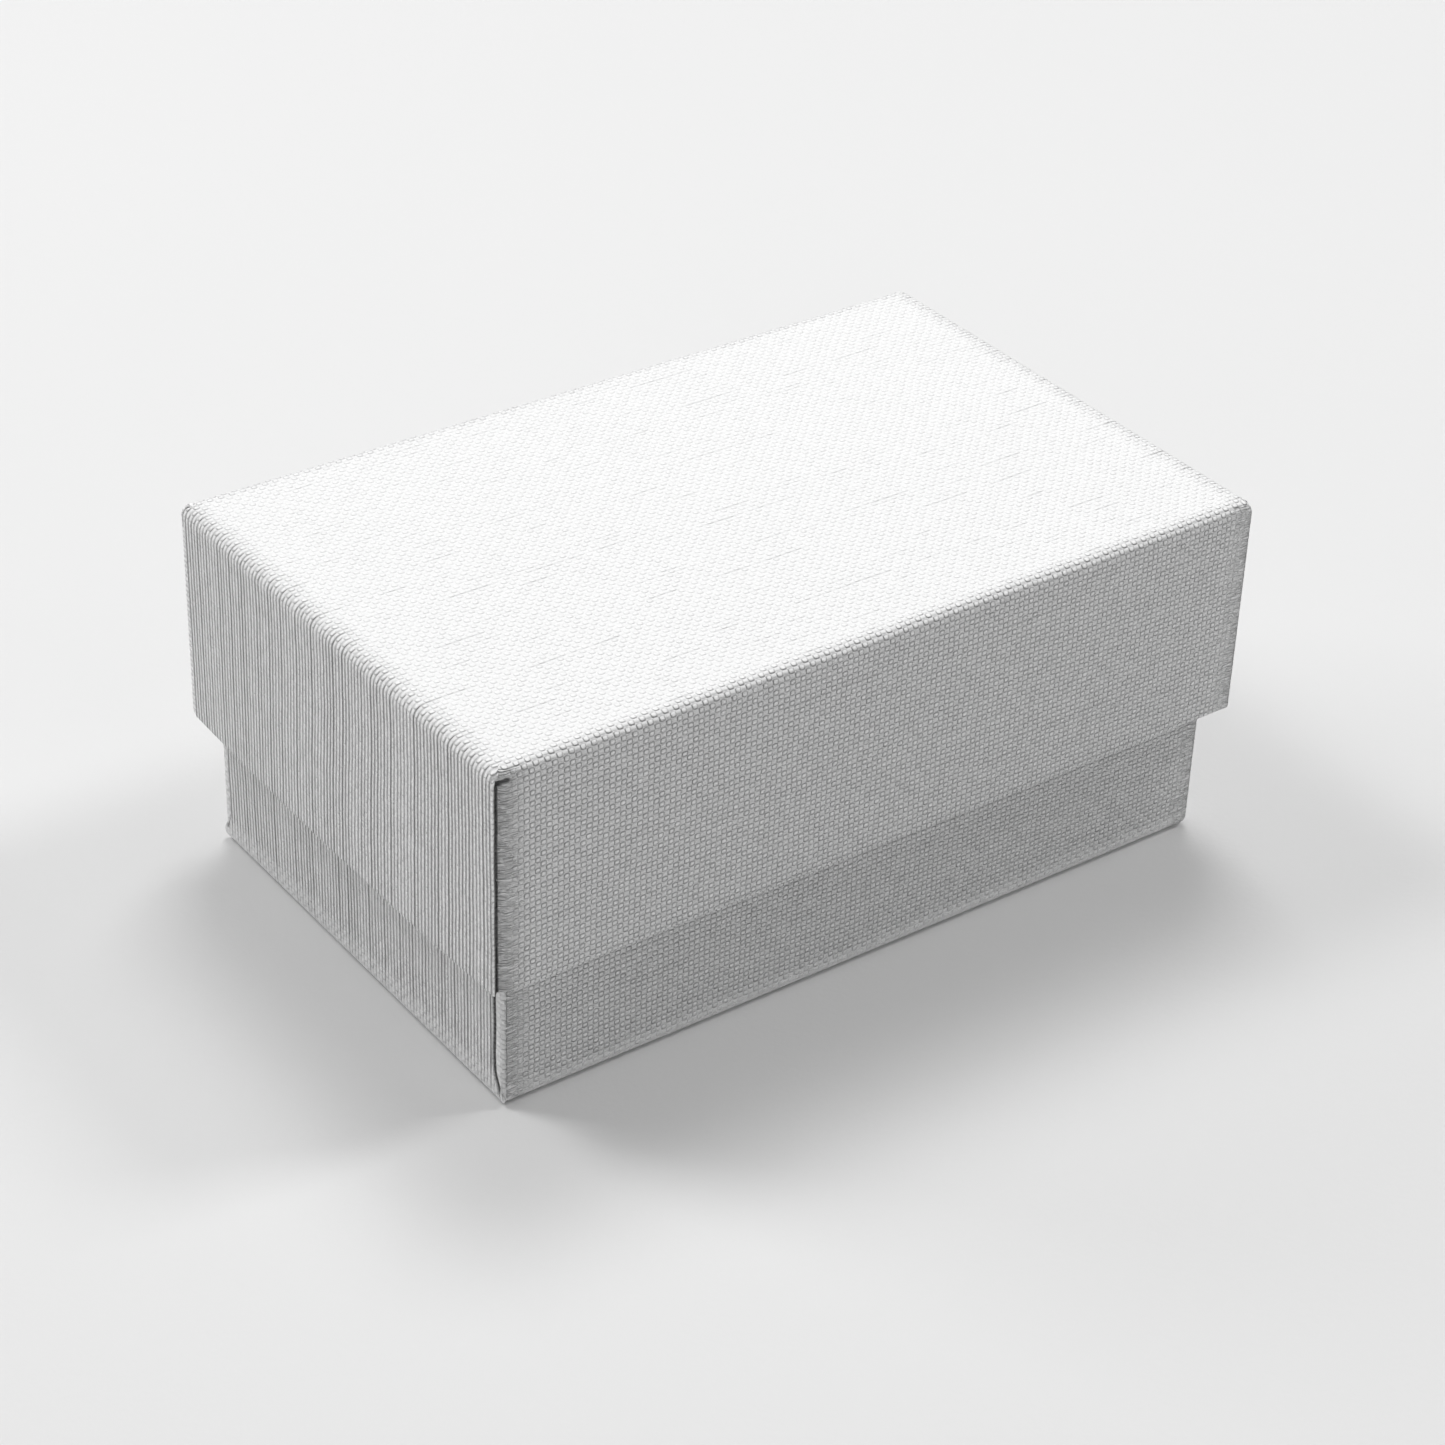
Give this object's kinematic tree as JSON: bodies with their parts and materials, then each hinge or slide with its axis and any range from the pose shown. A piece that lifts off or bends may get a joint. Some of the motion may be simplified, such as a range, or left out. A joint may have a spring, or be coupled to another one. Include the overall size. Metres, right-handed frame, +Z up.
{
  "type": "jewelry gift box",
  "caption": "Closed rigid gift box for jewellery, in white linen-embossed paper over greyboard, with a deep lift-off lid and a lift-out velvet pad for rings, earrings and chains.",
  "frame": {"origin": "middle of the underside of the closed box, on the surface that it stands on", "axes": "+X along the long side, +Y along the short side, +Z up, the way that the lid and the pad lift out. The thumb notch of the pad is at -Y, the front."},
  "size_m": [0.08, 0.051, 0.035],
  "materials": {
    "linen_paper": "matte",
    "greyboard": "matte",
    "kraft_tape": "matte",
    "lining_paper": "matte",
    "white_foam": "matte",
    "pad_card": "matte",
    "pad_velvet": "matte"
  },
  "bodies": {
    "base": {"base_board": "greyboard", "base_corner_tape_front_left": "kraft_tape", "base_corner_tape_front_right": "kraft_tape", "base_corner_tape_back_left": "kraft_tape", "base_corner_tape_back_right": "kraft_tape", "base_cover": "linen_paper", "base_lining": "lining_paper", "foam_block": "white_foam"},
    "pad": {"pad_card": "pad_card", "pad_sponge": "white_foam", "pad_velvet": "pad_velvet"},
    "lid": {"lid_board": "greyboard", "lid_corner_tape_front_left": "kraft_tape", "lid_corner_tape_front_right": "kraft_tape", "lid_corner_tape_back_left": "kraft_tape", "lid_corner_tape_back_right": "kraft_tape", "lid_cover": "linen_paper", "lid_lining": "lining_paper"}
  },
  "joints": [
    {"name": "pad_lift", "type": "slide", "parent": "base", "child": "pad", "axis": [0, 0, 1], "range_m": [0, 0.03]},
    {"name": "lid_lift", "type": "slide", "parent": "pad", "child": "lid", "axis": [0, 0, 1], "range_m": [0, 0.045]}
  ]
}
